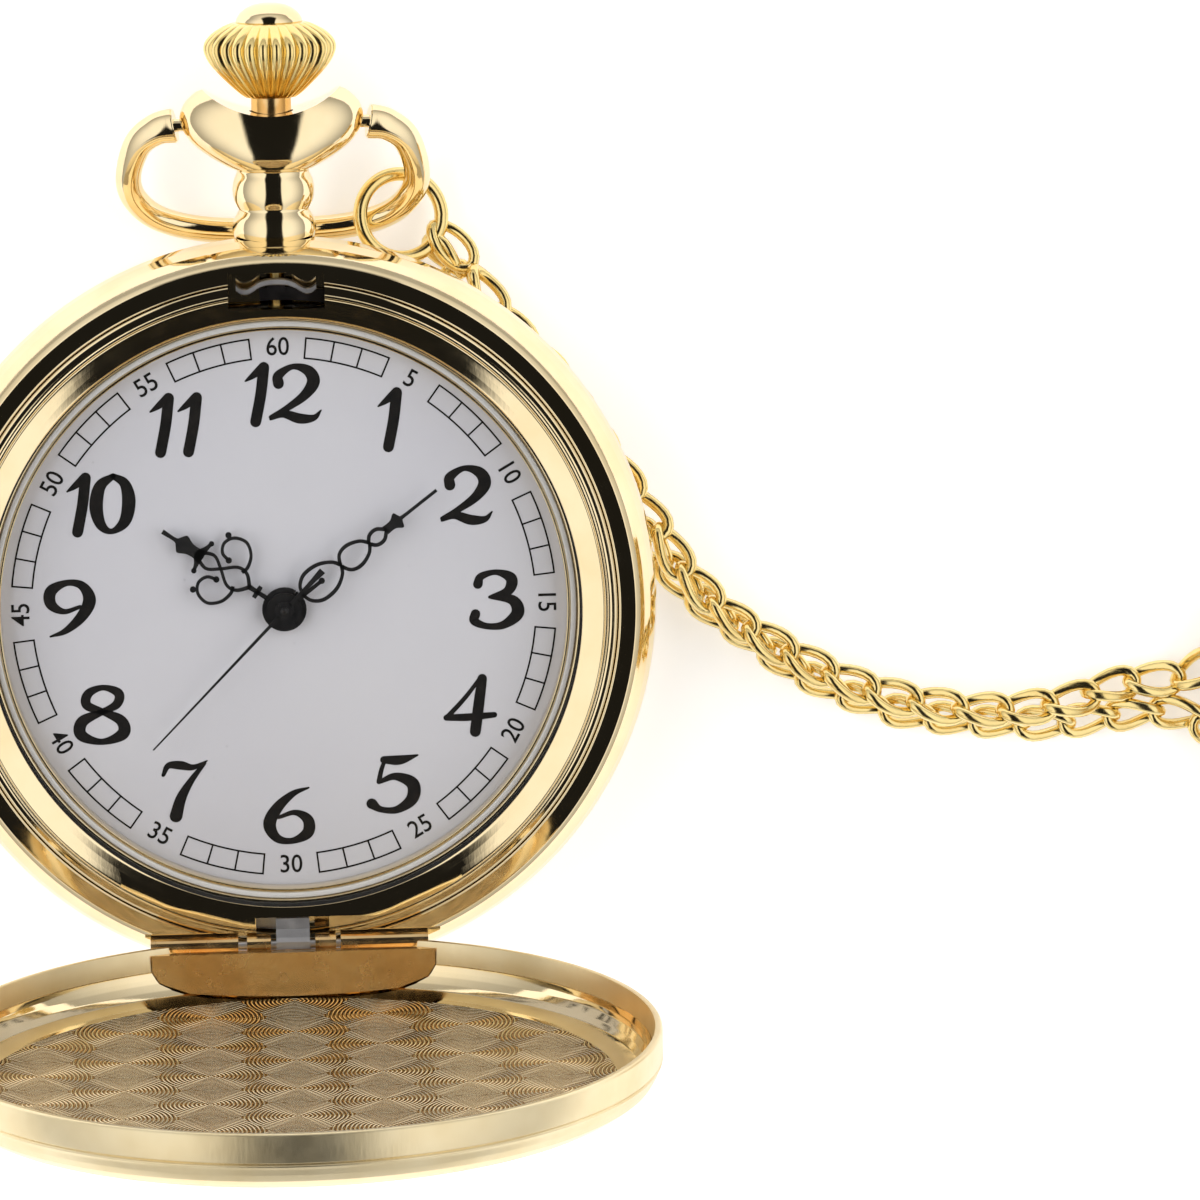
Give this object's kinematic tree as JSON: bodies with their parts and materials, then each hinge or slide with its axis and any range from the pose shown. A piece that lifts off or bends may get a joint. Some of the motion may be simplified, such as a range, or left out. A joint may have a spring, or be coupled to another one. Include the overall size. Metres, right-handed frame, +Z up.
{
  "type": "pocket watch",
  "caption": "Hunter-case quartz pocket watch lying on its back with the front cover raised on its hinge, a fluted crown, a swinging bow, and a necklace chain on a jump ring.",
  "frame": {"origin": "on the table under the middle of the watch's bounding box, chain left out", "axes": "+Z up, out of the dial; +Y towards 12 o'clock and the crown; +X towards 3 o'clock"},
  "size_m": [0.1135, 0.0648, 0.0531],
  "materials": {
    "gold_plate": "polished pale gold plate",
    "steel": "bright steel",
    "brass": "machined brass",
    "dial_paint": "matt lilac-grey white with a black printed minute track and numerals",
    "spacer_finish": "pale satin ring",
    "black_paint": "satin black",
    "crystal_glass": "clear, slightly domed",
    "gasket_rubber": "matt black",
    "white_plastic": "moulded white plastic",
    "black_plastic": "black epoxy",
    "board_green": "green solder mask",
    "copper_wire": "enamelled copper wire"
  },
  "bodies": {
    "case": {"case_band": "gold_plate", "bezel": "gold_plate", "case_back": "gold_plate", "hinge_barrel_left": "gold_plate", "hinge_barrel_right": "gold_plate", "pendant": "gold_plate", "bow_pin_left": "gold_plate", "bow_pin_right": "gold_plate", "chain_strand_lower": "gold_plate", "chain_strand_upper": "gold_plate", "chain_coil": "gold_plate", "hinge_pin": "steel", "lift_spring": "steel", "lift_spring_screw": "steel", "catch_spring_screw": "steel", "battery": "steel", "battery_clamp": "steel", "train_bridge": "steel", "quartz_can": "steel", "stator": "steel", "coil_core": "steel", "movement_screw": "steel", "main_plate": "brass", "dial": "dial_paint", "dial_spacer_ring": "spacer_finish", "crystal": "crystal_glass", "crystal_gasket": "gasket_rubber", "back_gasket": "gasket_rubber", "movement_holder": "white_plastic", "timing_chip": "black_plastic", "circuit_board": "board_green", "coil_winding": "copper_wire"},
    "lid": {"lid_shell": "gold_plate", "lid_hinge_plate": "gold_plate"},
    "bow": {"bow": "gold_plate"},
    "ring": {"jump_ring": "gold_plate"},
    "setting_lever": {"setting_lever": "steel"},
    "crown": {"crown": "gold_plate", "crown_cap": "gold_plate", "stem": "steel"},
    "sliding_pinion": {"sliding_pinion": "brass"},
    "catch": {"lid_catch": "steel"},
    "seconds": {"fourth_wheel": "brass", "second_hand": "black_paint"},
    "fifth": {"fifth_wheel": "white_plastic"},
    "rotor": {"rotor": "steel"},
    "third": {"third_wheel": "brass"},
    "centre": {"centre_wheel": "brass"},
    "minutes": {"cannon_pinion": "brass", "minute_hand": "black_paint"},
    "hours": {"hour_wheel": "brass", "hour_hand": "black_paint"},
    "minute_wheel": {"minute_wheel": "brass"},
    "setting_wheel": {"setting_wheel": "brass"}
  },
  "joints": [
    {"name": "lid_hinge", "type": "hinge", "parent": "case", "child": "lid", "pos_m": [0, -0.02661, 0.0101], "axis": [1, 0, 0], "range_deg": [-92.8, 0], "stiffness_Nm_per_rad": 0.002, "springref_deg": 17.19},
    {"name": "bow_swing", "type": "hinge", "parent": "case", "child": "bow", "pos_m": [0, 0.02483, 0.0058], "axis": [1, 0, 0], "range_deg": [0, 270]},
    {"name": "ring_swing", "type": "hinge", "parent": "bow", "child": "ring", "pos_m": [0.0057, 0.01789, 0.0018], "axis": [0.9619, 0.262, -0.078], "range_deg": [0, 5]},
    {"name": "crown_slide", "type": "slide", "parent": "case", "child": "setting_lever", "axis": [0, 1, 0], "range_m": [-0.0006, 0.0009], "stiffness_N_per_m": 300},
    {"name": "crown_spin", "type": "hinge", "parent": "setting_lever", "child": "crown", "pos_m": [0, 0.02638, 0.0058], "axis": [0, 1, 0], "continuous": true},
    {"name": "pinion_spin", "type": "hinge", "parent": "case", "child": "sliding_pinion", "pos_m": [0, 0.00203, 0.0058], "axis": [0, 1, 0], "continuous": true},
    {"name": "catch_release", "type": "hinge", "parent": "case", "child": "catch", "pos_m": [0.0164, 0.00587, 0.00755], "axis": [0, 0, 1], "range_deg": [0, 2], "stiffness_Nm_per_rad": 0.02},
    {"name": "seconds_spin", "type": "hinge", "parent": "case", "child": "seconds", "pos_m": [0, -0.00562, 0.007], "axis": [0, 0, 1], "continuous": true},
    {"name": "fifth_spin", "type": "hinge", "parent": "case", "child": "fifth", "pos_m": [0.00249, -0.00705, 0.004], "axis": [0, 0, 1], "continuous": true},
    {"name": "rotor_spin", "type": "hinge", "parent": "case", "child": "rotor", "pos_m": [0.00498, -0.00662, 0.004], "axis": [0, 0, 1], "continuous": true},
    {"name": "third_spin", "type": "hinge", "parent": "case", "child": "third", "pos_m": [-0.00264, -0.00657, 0.004], "axis": [0, 0, 1], "continuous": true},
    {"name": "centre_spin", "type": "hinge", "parent": "case", "child": "centre", "pos_m": [0, -0.00562, 0.0045], "axis": [0, 0, 1], "continuous": true},
    {"name": "minutes_spin", "type": "hinge", "parent": "case", "child": "minutes", "pos_m": [0, -0.00562, 0.0075], "axis": [0, 0, 1], "continuous": true},
    {"name": "hours_spin", "type": "hinge", "parent": "case", "child": "hours", "pos_m": [0, -0.00562, 0.0073], "axis": [0, 0, 1], "continuous": true},
    {"name": "minute_wheel_spin", "type": "hinge", "parent": "case", "child": "minute_wheel", "pos_m": [-0.0005, -0.00278, 0.006], "axis": [0, 0, 1], "continuous": true},
    {"name": "setting_wheel_spin", "type": "hinge", "parent": "case", "child": "setting_wheel", "pos_m": [-0.00106, 0.00041, 0.006], "axis": [0, 0, 1], "continuous": true}
  ],
  "couplings": [
    {"joint": "fifth_spin", "follows": "seconds_spin", "ratio": -5},
    {"joint": "rotor_spin", "follows": "seconds_spin", "ratio": 30},
    {"joint": "third_spin", "follows": "seconds_spin", "ratio": -0.13333},
    {"joint": "centre_spin", "follows": "seconds_spin", "ratio": 0.016667},
    {"joint": "pinion_spin", "follows": "crown_spin", "ratio": 1},
    {"joint": "setting_wheel_spin", "follows": "crown_spin", "ratio": 0.66667},
    {"joint": "minute_wheel_spin", "follows": "crown_spin", "ratio": -0.33333},
    {"joint": "minutes_spin", "follows": "crown_spin", "ratio": 1},
    {"joint": "hours_spin", "follows": "crown_spin", "ratio": 0.083333}
  ]
}
